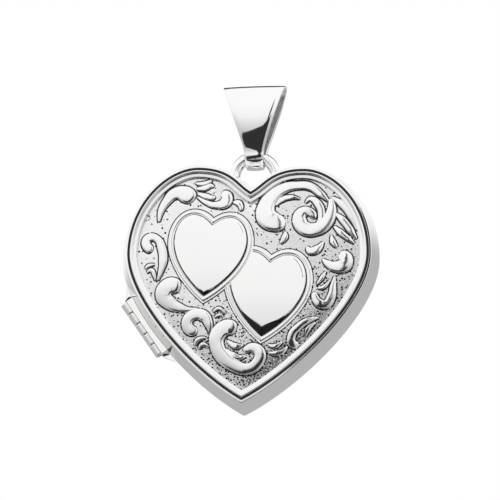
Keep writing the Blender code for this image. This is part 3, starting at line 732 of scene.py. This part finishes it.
def stipple_tree():
    """Scatters small beads over the plate's front, wherever nothing stands on it."""
    sockets = [("Hearts", "NodeSocketObject", None), ("Scrolls", "NodeSocketObject", None)]
    for title, value in GRAINS.items():
        kind = "NodeSocketInt" if title == "Seed" else "NodeSocketFloat"
        sockets.append((title, kind, value))
    sockets.append(("Finish", "NodeSocketMaterial", None))
    tree, given = new_tree("stipple_ground", sockets)
    normal = tree.nodes.new("GeometryNodeInputNormal").outputs[0]
    depth = node(tree, "ShaderNodeSeparateXYZ", {0: normal}).outputs[1]
    facing = node(tree, "FunctionNodeCompare", {0: depth, 1: -0.7}, operation="LESS_THAN")
    at = coordinates(tree)
    above = math_node(tree, "SUBTRACT", at[2], given["Thin Above"])
    lean = math_node(tree, "MULTIPLY", at[0], THINNING_LEAN)
    share = math_node(tree, "DIVIDE", math_node(tree, "SUBTRACT", above, lean), THINNING)
    share = math_node(tree, "MAXIMUM", share, KEPT - 1.0)
    kept_share = math_node(tree, "MAXIMUM", math_node(tree, "SUBTRACT", KEPT, share), LEAST_KEPT)
    points = node(tree, "GeometryNodeDistributePointsOnFaces", {
        "Mesh": given["Geometry"], "Selection": facing.outputs[0], "Distance Min": given["Spacing"],
        "Density Max": given["Density"], "Density Factor": kept_share, "Seed": given["Seed"],
    }, distribute_method="POISSON")
    kept = points.outputs["Points"]
    for title in ("Hearts", "Scrolls"):
        raised = node(tree, "GeometryNodeObjectInfo", {"Object": given[title]})
        hidden = node(tree, "GeometryNodeRaycast", {
            "Target Geometry": raised.outputs["Geometry"], "Ray Direction": (0.0, -1.0, 0.0),
            "Ray Length": 2.0,
        })
        kept = node(tree, "GeometryNodeDeleteGeometry", {
            "Geometry": kept, "Selection": hidden.outputs["Is Hit"],
        }, domain="POINT").outputs[0]
    bead = node(tree, "GeometryNodeMeshIcoSphere", {"Radius": given["Size"], "Subdivisions": 1})
    size = node(tree, "FunctionNodeRandomValue", {
        2: BEAD_SIZES[0], 3: BEAD_SIZES[1], "Seed": given["Seed"],
    }, data_type="FLOAT")
    turn = node(tree, "FunctionNodeRandomValue", {
        0: (0, 0, 0), 1: BEAD_TURNS, "Seed": given["Seed"],
    }, data_type="FLOAT_VECTOR")
    beads = node(tree, "GeometryNodeInstanceOnPoints", {
        "Points": kept, "Instance": bead.outputs["Mesh"], "Scale": size.outputs[1],
        "Rotation": turn.outputs[0],
    })
    end_tree(tree, beads.outputs[0], given["Finish"])
    return tree


def cut_away(obj, cutter, name):
    """The object less the cutter, as a plain mesh; both are removed."""
    cut = obj.modifiers.new("cut", "BOOLEAN")
    cut.operation = "DIFFERENCE"
    cut.solver = "EXACT"
    cut.object = cutter
    result = baked(obj, name)
    bpy.data.objects.remove(obj)
    bpy.data.objects.remove(cutter)
    return result


def joined(objects, name):
    """One mesh object of several drawn ones, which stay."""
    work = bmesh.new()
    for obj in objects:
        work.from_mesh(obj.data)
    mesh = bpy.data.meshes.new(name)
    work.to_mesh(mesh)
    work.free()
    return in_scene(name, mesh)


def shade_ribbon(name, outer, inner):
    """A thin band of painted shade between two outlines, each a list of points and their heights.
    """
    rings = []
    for outline, sunk in ((outer, LINE_SUNK), (outer, 0.0), (inner, 0.0), (inner, LINE_SUNK)):
        rings.append([(p.x, ground_y(p) - height + sunk, p.y) for p, height in outline])
    return drawn(name, *lofted(rings, closed_across=True))


def foot_shade_line(spec, name):
    """The painted shade line where a raised heart stands on the ground."""
    outer, inner = (
        [(p, FOOT_LINE_HEIGHT) for p in small_heart(spec, -outwards)] for outwards in FOOT_LINE
    )
    return shade_ribbon(name, outer, inner)


def groove_shade_line(spec, name):
    """Painted shade in the groove between border and face, widening over the bevel at the toe,
    where the bevel is painted dark.
    """
    low = spec["border"] - GROOVE_DROP
    outer = [(p, low) for p in small_heart(spec, GROOVE_INSET)]
    inner = []
    for p, foot in zip(face_outline(spec, TOE_SHADE), face_outline(spec, 0.0)):
        rise = TOE_SHADE * (crowned(spec, p) - TOE_SHADE_DROP - low)
        inner.append((p, low + rise * min(1.0, (p - foot).length * TOE_SHADE_RISE)))
    return shade_ribbon(name, outer, inner)


def left_bound(clear):
    """A tall solid over the left heart and a little round it, to cut what passes under it."""
    edge = small_heart(LEFT_HEART, -clear)
    return drawn("left_heart_bound", *lofted([[(p.x, y, p.y) for p in edge] for y in BOUND_Y]))


def front_face(finishes):
    """The plate with its hearts, scrolls and stipple."""
    plate = front_plate()
    left = raised_heart("left_heart", LEFT_HEART)
    right = raised_heart("right_heart_whole", RIGHT_HEART)
    right = cut_away(right, left_bound(PLINTH_CLEAR), "right_heart")
    hearts = joined((left, right), "hearts_bound")
    raising = scroll_tree()
    scrolls = grown(scroll_curves(), raising, {
        "Plate": plate, "Finish": finishes["scroll"],
    }, "scrolls")
    # A wider, lower near-black sweep under the scrolls: painted shade round their feet.
    crevices = grown(scroll_curves(), raising, {
        "Plate": plate, "Margin": SHADE_MOAT_MARGIN, "Rise": SHADE_MOAT_RISE, "Finish": finishes["painted_shade"],
    }, "crevices")
    scattering = stipple_tree()
    # Bright grains, and near-black dots of painted shade that grow denser towards the bottom.
    for name, sizes, finish in (("grains", GRAINS, "scroll"), ("pits", SHADE_DOTS, "painted_shade")):
        marks = grown(joined((plate,), "marked_plate"), scattering, {
            "Hearts": hearts, "Scrolls": scrolls, "Finish": finishes[finish], **sizes,
        }, "stipple_" + name)
        placed(marks, "front_half", finishes[finish], crease=BEAD_CREASE)
    bpy.data.objects.remove(hearts)
    placed(plate, "front_half", finishes["ground"], ("front_panel",))
    for obj in (left, right):
        placed(obj, "front_half", finishes["polished"])
    for obj, finish in ((scrolls, "scroll"), (crevices, "painted_shade")):
        placed(obj, "front_half", finishes[finish], crease=SCROLL_CREASE)
    # Painted shade lines at each heart's foot and in its groove.
    for side, spec in (("left", LEFT_HEART), ("right", RIGHT_HEART)):
        for place, make in (("foot", foot_shade_line), ("groove", groove_shade_line)):
            line = make(spec, f"{side}_heart_{place}")
            if side == "right":
                line = cut_away(line, left_bound(LINE_CLEAR), line.name + "_seen")
            placed(line, "front_half", finishes["painted_shade"])


# --- Shells, pictures and holders ---
def shells(finishes):
    """Both rims, the painted shade line in the front rim's groove and the back plate."""
    line = drawn("rim_groove", *lofted(heart_rings(RIM_LINE), closed_across=True))
    placed(line, "front_half", finishes["painted_shade"])
    for name, section, body in (
        ("front_rim", FRONT_BEZEL, "front_half"), ("back_rim", BACK_BEZEL, "back_half"),
    ):
        band = drawn(name, *lofted(heart_rings(rounded(section)), closed_across=True))
        placed(band, body, finishes["polished"], (name.replace("rim", "bezel"),))
    back = drawn("back_plate", *lofted(heart_rings(BACK_PLATE)))
    placed(back, "back_half", finishes["polished"], ("back_panel",))


def pictures(finishes):
    """A card, a clear window and a lipped holder in each half, from the outside inwards."""
    for half, (sign, y) in STACKS.items():
        body = half + "_half"
        for part, thick, slot in (
            ("photo_card", CARD_THICK, "picture_card"),
            ("photo_window", WINDOW_THICK, "clear_acetate"),
        ):
            section = (
                (-PICTURE_EDGE - PICTURE_SOFT, sign * y),
                (-PICTURE_EDGE, sign * (y - PICTURE_SOFT)),
                (-PICTURE_EDGE, sign * (y - thick + PICTURE_SOFT)),
                (-PICTURE_EDGE - PICTURE_SOFT, sign * (y - thick)),
            )
            sheet = drawn(f"{half}_{part}_made", *lofted(heart_rings(section)))
            placed(sheet, body, finishes[slot], (f"{half}_{part}",))
            y -= thick + STACK_GAP
        inner = HOLDER_EDGE + HOLDER_THICK
        section = (
            (-HOLDER_EDGE, sign * y, 0.02), (-HOLDER_EDGE, sign * (y - HOLDER_HEIGHT), 0.05),
            (-inner, sign * (y - HOLDER_HEIGHT), 0.05), (-inner, sign * (y - HOLDER_THICK), 0.04),
            (-HOLDER_LIP, sign * (y - HOLDER_THICK), 0.06), (-HOLDER_LIP, sign * y, 0.02),
        )
        holder = drawn(f"{half}_holder", *lofted(heart_rings(rounded(section)), closed_across=True))
        placed(holder, body, finishes["satin"], (f"{half}_photo_frame",))


# --- Hinge ---
def hinge_rings(section):
    """Circles round the hinge pin, from (along, radius)."""
    rings = []
    for along, radius in section:
        ring = []
        for k in range(ROUND_SIDES):
            turn = math.tau * k / ROUND_SIDES
            flat = HINGE_CENTRE + HINGE_ALONG * along + HINGE_INWARD * (radius * math.cos(turn))
            ring.append((flat.x, radius * math.sin(turn), flat.y))
        rings.append(ring)
    return rings


def hinge_barrel(finishes):
    """Five tubes with softened ends and the pin through them."""
    soft = KNUCKLE_SOFT
    for number in range(1, KNUCKLE_COUNT + 1):
        start = -BARREL / 2 + (number - 1) * (KNUCKLE_LENGTH + KNUCKLE_GAP)
        end = start + KNUCKLE_LENGTH
        section = (
            (start + soft, KNUCKLE_RADIUS), (start + 2 * soft, KNUCKLE_RADIUS),
            (end - 2 * soft, KNUCKLE_RADIUS), (end - soft, KNUCKLE_RADIUS),
            (end - soft / 3, KNUCKLE_RADIUS - soft / 3), (end, KNUCKLE_RADIUS - soft),
            (end, KNUCKLE_BORE), (start, KNUCKLE_BORE), (start, KNUCKLE_RADIUS - soft),
            (start + soft / 3, KNUCKLE_RADIUS - soft / 3),
        )
        tube = drawn(f"barrel_{number}", *lofted(hinge_rings(section), closed_across=True))
        body = "back_half" if number % 2 else "front_half"
        placed(tube, body, finishes["polished"], (f"hinge_knuckle_{number}",))
    half = BARREL / 2 - PIN_SINK
    section = [(along - half, radius) for along, radius in PIN_END]
    section += [(half - along, radius) for along, radius in reversed(PIN_END)]
    pin = drawn("pin", *lofted(hinge_rings(section)))
    placed(pin, "back_half", finishes["satin"], ("hinge_pin",))


# --- Loop and bail ---
def soldered_loop(finishes):
    """Half ring of round wire, swelling into its solder where it meets the lobes."""
    low = LOOP_FOOT_TURN
    rings = []
    for step in range(LOOP_STEPS + 1):
        turn = low + (math.pi - 2 * low) * step / LOOP_STEPS
        from_foot = min(turn - low, math.pi - low - turn)
        wire_radius = LOOP_WIRE + SOLDER * math.exp(-((from_foot / SOLDER_REACH) ** 2))
        ring = []
        for side in range(ROUND_SIDES):
            wire = math.tau * side / ROUND_SIDES
            reach = LOOP_RADIUS + wire_radius * math.cos(wire)
            x, z = reach * math.cos(turn), LOOP_CENTRE_Z + reach * math.sin(turn)
            ring.append((x, LOOP_Y + min(wire_radius, LOOP_FOOT_DEPTH) * math.sin(wire), z))
        rings.append(ring)
    loop = drawn("loop", *lofted(rings))
    placed(loop, "back_half", finishes["polished"], ("pendant_loop",))


def bail_width(z):
    """The strap's width at this height, on a smooth line through the widths given."""
    for k in range(1, len(BAIL_WIDTHS) - 2):
        if z <= BAIL_WIDTHS[k + 1][0] or k == len(BAIL_WIDTHS) - 3:
            (z0, a), (z1, b), (z2, c), (z3, d) = BAIL_WIDTHS[k - 1 : k + 3]
            t = (z - z1) / (z2 - z1)
            rise_in = (c - a) / (z2 - z0) * (z2 - z1)
            rise_out = (d - b) / (z3 - z1) * (z2 - z1)
            return (
                (2 * t**3 - 3 * t**2 + 1) * b + (t**3 - 2 * t**2 + t) * rise_in
                + (3 * t**2 - 2 * t**3) * c + (t**3 - t**2) * rise_out
            )


def bail_strap(finishes):
    """Strap with softened edges, folded into a teardrop round the loop; satin inside."""
    half = [bezier(BAIL_CURVES[0], 0.0)]
    for curve in BAIL_CURVES:
        half += [bezier(curve, k / BAIL_STEPS) for k in range(1, BAIL_STEPS + 1)]
    outer = half[:-1] + [Vector((-p.x, p.y)) for p in reversed(half[1:])]
    count = len(outer)
    rings = []
    for k, point in enumerate(outer):
        along = (outer[(k + 1) % count] - outer[k - 1]).normalized()
        inward = Vector((-along.y, along.x))
        wide = bail_width(point.y) / 2
        soft = BAIL_EDGE
        across = [(-wide, soft), (-wide + 0.3 * soft, 0.3 * soft)]
        for step in range(BAIL_ACROSS + 1):
            share = 2 * step / BAIL_ACROSS - 1
            across.append(((wide - soft) * share, -BAIL_CROWN * (1 - share**2)))
        across += [
            (wide - 0.3 * soft, 0.3 * soft), (wide, soft), (wide, BAIL_THICK - BAIL_INNER_EDGE),
            (wide - BAIL_INNER_EDGE, BAIL_THICK), (BAIL_INNER_EDGE - wide, BAIL_THICK),
            (-wide, BAIL_THICK - BAIL_INNER_EDGE),
        ]
        ring = []
        for x, depth in across:
            at = point + inward * depth
            ring.append((x, LOOP_Y + at.x, at.y))
        rings.append(ring)
    strap = drawn("bail_strap", *lofted(rings, closed_across=True))
    polished = finishes["polished"]
    placed(strap, "bail", polished, ("bail",), BAIL_PLACE, BAIL_CREASE)
    strap.data.materials.append(finishes["satin"])
    lining = len(across) - 3
    for face in strap.data.polygons:
        if face.index % len(across) == lining:
            face.material_index = 1


# --- Materials ---
CARD_FIBRE = 0.25 * MM


def new_material(name):
    """A material, its nodes and its surface shader."""
    material = bpy.data.materials.new(name)
    material.use_nodes = True
    tree = material.node_tree
    return material, tree, tree.nodes["Principled BSDF"]


def tinted(tree, shader, share, colours):
    """Gives the shader a colour that drifts between the two by the share."""
    tint = node(tree, "ShaderNodeMix", {
        0: share, 6: (*colours[0], 1.0), 7: (*colours[1], 1.0),
    }, data_type="RGBA")
    tree.links.new(tint.outputs[2], shader.inputs["Base Color"])


def dented(tree, shader, height, strength, distance):
    dent = node(tree, "ShaderNodeBump", {
        "Height": height, "Strength": strength, "Distance": distance,
    })
    tree.links.new(dent.outputs[0], shader.inputs["Normal"])


def fine_wear():
    """Soft cloudiness and hairline scratches, shared by the silvers."""
    group = bpy.data.node_groups.new("fine_wear", "ShaderNodeTree")
    for title, value in (("Cloud Size", 1.0), ("Scratch Size", 1.0), ("Strength", 1.0)):
        socket = group.interface.new_socket(title, in_out="INPUT", socket_type="NodeSocketFloat")
        socket.default_value = value
    for title in ("Cloud", "Scratch"):
        group.interface.new_socket(title, in_out="OUTPUT", socket_type="NodeSocketFloat")
    given = group.nodes.new("NodeGroupInput").outputs
    at = group.nodes.new("ShaderNodeTexCoord").outputs["Object"]
    cloud_scale = math_node(group, "DIVIDE", 1.0, given["Cloud Size"])
    cloud = node(group, "ShaderNodeTexNoise", {"Vector": at, "Scale": cloud_scale, "Detail": 4.0})
    turned = node(group, "ShaderNodeMapping", {
        "Vector": at, "Rotation": (0.4, 0.9, 0.3), "Scale": (1.0, 14.0, 14.0),
    })
    scratch_scale = math_node(group, "DIVIDE", 1.0, given["Scratch Size"])
    hair = node(group, "ShaderNodeTexNoise", {
        "Vector": turned.outputs[0], "Scale": scratch_scale, "Detail": 3.0,
    })
    scratch = math_node(group, "MULTIPLY", hair.outputs[0], given["Strength"])
    output = group.nodes.new("NodeGroupOutput")
    group.links.new(cloud.outputs[0], output.inputs["Cloud"])
    group.links.new(scratch, output.inputs["Scratch"])
    return group


def silver(name, wear, colours, roughness, cloud, scratch, bump):
    """A silver: its colour and gloss drift with the cloud, and hairlines catch the light."""
    material, tree, shader = new_material(name)
    shader.inputs["Metallic"].default_value = 1.0
    used = node(tree, "ShaderNodeGroup", node_tree=wear)
    used.inputs["Cloud Size"].default_value = cloud
    used.inputs["Scratch Size"].default_value = scratch
    tinted(tree, shader, used.outputs["Cloud"], colours)
    gloss = node(tree, "ShaderNodeMapRange", {
        "Value": used.outputs["Cloud"], "From Min": 0.3, "From Max": 0.7,
        "To Min": roughness[0], "To Max": roughness[1],
    })
    tree.links.new(gloss.outputs[0], shader.inputs["Roughness"])
    dented(tree, shader, used.outputs["Scratch"], *bump)
    return material


def picture_card():
    material, tree, shader = new_material("picture_card_paper")
    at = tree.nodes.new("ShaderNodeTexCoord").outputs["Object"]
    fibre = node(tree, "ShaderNodeTexNoise", {
        "Vector": at, "Scale": 1 / CARD_FIBRE, "Detail": 6.0,
    })
    tinted(tree, shader, fibre.outputs[0], ((0.84, 0.78, 0.68), (0.76, 0.69, 0.58)))
    shader.inputs["Roughness"].default_value = 0.62
    dented(tree, shader, fibre.outputs[0], 0.3, 0.02 * MM)
    return material


def clear_acetate(wear):
    material, tree, shader = new_material("acetate_window")
    shader.inputs["Base Color"].default_value = (0.97, 0.985, 0.98, 1.0)
    shader.inputs["Transmission Weight"].default_value = 1.0
    shader.inputs["IOR"].default_value = 1.47
    used = node(tree, "ShaderNodeGroup", node_tree=wear)
    used.inputs["Cloud Size"].default_value = 2.5 * MM
    used.inputs["Scratch Size"].default_value = 1.5 * MM
    haze = node(tree, "ShaderNodeMapRange", {
        "Value": used.outputs["Cloud"], "To Min": 0.02, "To Max": 0.09,
    })
    tree.links.new(haze.outputs[0], shader.inputs["Roughness"])
    return material


def make_finishes():
    wear = fine_wear()
    return {
        "polished": silver(
            "polished_silver_made", wear, ((0.965, 0.965, 0.96), (0.945, 0.945, 0.94)),
            (0.03, 0.07), 3.0 * MM, 0.6 * MM, (0.05, 0.004 * MM),
        ),
        "scroll": silver(
            "scroll_silver", wear, ((0.96, 0.96, 0.955), (0.92, 0.92, 0.915)), (0.07, 0.14),
            0.8 * MM, 0.3 * MM, (0.10, 0.008 * MM),
        ),
        "satin": silver(
            "satin_silver_made", wear, ((0.86, 0.855, 0.84), (0.78, 0.775, 0.76)), (0.26, 0.40),
            1.5 * MM, 0.12 * MM, (0.35, 0.01 * MM),
        ),
        "ground": silver(
            "stippled_silver", wear, ((0.96, 0.96, 0.955), (0.86, 0.86, 0.855)), (0.06, 0.13),
            0.3 * MM, 0.12 * MM, (0.22, 0.02 * MM),
        ),
        # Near-black silver that paints shade, not oxide: in grooves, at the feet of hearts and
        # scrolls, over the toe bevel and as stipple dots.
        "painted_shade": silver(
            "oxidised_silver", wear, ((0.02, 0.02, 0.022), (0.07, 0.07, 0.075)), (0.25, 0.40),
            0.5 * MM, 0.1 * MM, (0.3, 0.01 * MM),
        ),
        "picture_card": picture_card(),
        "clear_acetate": clear_acetate(wear),
    }


def carried_nodes(finishes):
    """Solids whose shape is right keep it and take the detailed finish."""
    for name, finish in (
        ("front_hinge_leaf", "polished"), ("back_hinge_leaf", "polished"), ("catch_ledge", "satin"),
        ("closing_rim", "satin"), ("catch_tongue", "satin"),
    ):
        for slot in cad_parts[name].material_slots:
            slot.material = finishes[finish]


# --- Studio ---
CAMERA_AZIMUTH = math.radians(6.4)
CAMERA_ELEVATION = math.radians(-15.2)
CAMERA_DISTANCE = 0.40
FIELD_WIDTH = 0.03788
AIM_FROM_MIDDLE = (0.000044, 0.002992)
HEART_MIDDLE = HEART_PLACE @ Vector((0, 0, 0))
FLOOR_Z = -0.16
FLOOR_HALF = 1.5
SENSOR = 36.0
CLIP = (0.01, 10.0)


def direction(azimuth, elevation):
    """A unit vector towards an azimuth, from the front to the right, and an elevation."""
    level = math.cos(elevation)
    return Vector((math.sin(azimuth) * level, -math.cos(azimuth) * level, math.sin(elevation)))


def camera():
    back = direction(CAMERA_AZIMUTH, CAMERA_ELEVATION)
    right = Vector((math.cos(CAMERA_AZIMUTH), math.sin(CAMERA_AZIMUTH), 0.0))
    up = back.cross(right)
    data = bpy.data.cameras.new("camera")
    data.sensor_width = SENSOR
    data.lens = SENSOR * CAMERA_DISTANCE / FIELD_WIDTH
    data.clip_start, data.clip_end = CLIP
    obj = in_scene("camera", data)
    aim = HEART_MIDDLE + right * AIM_FROM_MIDDLE[0] + up * AIM_FROM_MIDDLE[1]
    turn = Matrix((right, up, back)).transposed().to_4x4()
    obj.matrix_world = Matrix.Translation(aim + back * CAMERA_DISTANCE) @ turn
    bpy.context.scene.camera = obj


# Grey and black cards round the locket, in degrees: azimuth from, to, elevation from, to, soft
# edge, grey, lean. Azimuth runs from the front, 0, to the right; a card that leans stands higher
# by its lean for each degree to the right.
CARDS = (
    (95, 200, -70, 14, 12, 0.46, 0),
    (-220, -95, -70, 4, 10, 0.46, 0),
    (130, 230, 36, 66, 3, 0.05, 0),
    (-230, -130, 36, 66, 3, 0.05, 0),
    (-26, 12, -20, 4.0, 1.2, 0.03, 0.5),
    (-4, 8, -16, 7, 1.0, 0.03, 4),
    (-52, 52, -120, -36, 7, 0.03, 0),
)
# The pale room's own grey from straight down to straight up, against the height of the direction.
ROOM = ((0.0, 0.40), (0.40, 0.50), (0.50, 0.62), (0.56, 0.76), (0.62, 0.93), (0.75, 1.0))


def between(tree, value, low, high, soft):
    """1 where the value in radians is between low and high in degrees, with soft edges."""
    edges = []
    for start, end in ((low - soft, low), (high + soft, high)):
        edge = node(tree, "ShaderNodeMapRange", {
            "Value": value, "From Min": math.radians(start), "From Max": math.radians(end),
        }, interpolation_type="SMOOTHSTEP")
        edges.append(edge.outputs[0])
    return math_node(tree, "MULTIPLY", *edges)


def studio():
    """White all round the camera's view; reflections find a pale room with a few dark cards."""
    world = bpy.data.worlds.new("studio")
    world.use_nodes = True
    tree = world.node_tree
    tree.nodes.clear()
    towards = tree.nodes.new("ShaderNodeTexCoord").outputs["Generated"]
    at = node(tree, "ShaderNodeSeparateXYZ", {0: towards})
    height = at.outputs[2]
    forward = math_node(tree, "MULTIPLY", at.outputs[1], -1.0)
    azimuth = math_node(tree, "ARCTAN2", at.outputs[0], forward)
    elevation = math_node(tree, "ARCSINE", height)
    share = node(tree, "ShaderNodeMapRange", {
        "Value": height, "From Min": -1.0, "From Max": 1.0,
    }).outputs[0]
    ramp = node(tree, "ShaderNodeValToRGB", {0: share})
    stops = ramp.color_ramp.elements
    for k, (place, grey) in enumerate(ROOM):
        stop = stops[k] if k < 2 else stops.new(place)
        stop.position = place
        stop.color = (grey, grey, grey, 1.0)
    colour = ramp.outputs[0]
    for left, right, low, high, soft, grey, lean in CARDS:
        across = between(tree, azimuth, left, right, soft)
        raised = math_node(tree, "MULTIPLY", azimuth, lean)
        upright = between(tree, math_node(tree, "SUBTRACT", elevation, raised), low, high, soft)
        card = math_node(tree, "MULTIPLY", across, upright)
        mix = node(tree, "ShaderNodeMix", {
            0: card, 6: colour, 7: (grey, grey, grey, 1.0),
        }, data_type="RGBA")
        colour = mix.outputs[2]
    room = node(tree, "ShaderNodeBackground", {"Color": colour, "Strength": 1.0})
    plain = node(tree, "ShaderNodeBackground", {"Color": (1.0, 1.0, 1.0, 1.0), "Strength": 1.0})
    seen = tree.nodes.new("ShaderNodeLightPath").outputs["Is Camera Ray"]
    both = node(tree, "ShaderNodeMixShader", {0: seen, 1: room.outputs[0], 2: plain.outputs[0]})
    output = tree.nodes.new("ShaderNodeOutputWorld")
    tree.links.new(both.outputs[0], output.inputs[0])
    bpy.context.scene.world = world
    bpy.context.scene.view_settings.view_transform = "Standard"


def floor():
    mesh = bpy.data.meshes.new("floor")
    turns = ((-1, -1), (1, -1), (1, 1), (-1, 1))
    corners = [(x * FLOOR_HALF, y * FLOOR_HALF, FLOOR_Z) for x, y in turns]
    mesh.from_pydata(corners, [], [(0, 1, 2, 3)])
    obj = in_scene("floor", mesh)
    material, _, shader = new_material("pale_floor")
    shader.inputs["Base Color"].default_value = (0.93, 0.93, 0.93, 1.0)
    shader.inputs["Roughness"].default_value = 0.9
    mesh.materials.append(material)
    obj.visible_glossy = False


def build():
    finishes = make_finishes()
    front_face(finishes)
    shells(finishes)
    pictures(finishes)
    hinge_barrel(finishes)
    soldered_loop(finishes)
    bail_strap(finishes)
    carried_nodes(finishes)
    camera()
    studio()
    floor()


build()
